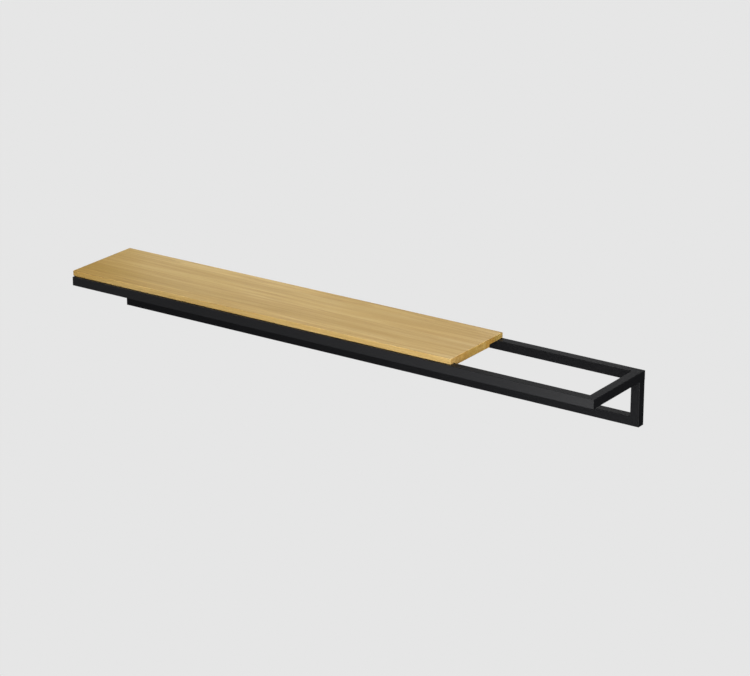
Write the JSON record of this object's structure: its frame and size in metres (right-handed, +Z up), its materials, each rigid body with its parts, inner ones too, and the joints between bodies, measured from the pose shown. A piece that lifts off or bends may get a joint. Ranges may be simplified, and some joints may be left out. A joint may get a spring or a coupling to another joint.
{
  "type": "bicycle wall rack",
  "caption": "Long wall rack of square steel tube with a wooden shelf board over its left part and an open bay at its right end to hang a bicycle from.",
  "frame": {"origin": "middle of the upper rear rail's wall face", "axes": "+X along the wall, from the board's end to the open bay, +Y into the wall, +Z up"},
  "size_m": [1.313, 0.2, 0.128],
  "materials": {
    "frame_steel": "satin black powder coat",
    "board_oak": "matt oiled oak",
    "screw_steel": "black zinc-plated steel"
  },
  "bodies": {
    "root": {"front_rail": "frame_steel", "upper_rear_rail": "frame_steel", "lower_rear_rail": "frame_steel", "left_arm": "frame_steel", "right_arm": "frame_steel", "left_post": "frame_steel", "right_post": "frame_steel", "board_stave_1": "board_oak", "board_stave_2": "board_oak", "board_stave_3": "board_oak", "board_stave_4": "board_oak", "board_stave_5": "board_oak", "board_stave_6": "board_oak", "board_screw_1": "screw_steel", "board_screw_2": "screw_steel", "board_screw_3": "screw_steel", "board_screw_4": "screw_steel", "board_screw_5": "screw_steel", "board_screw_6": "screw_steel", "board_screw_7": "screw_steel", "board_screw_8": "screw_steel"}
  },
  "joints": []
}
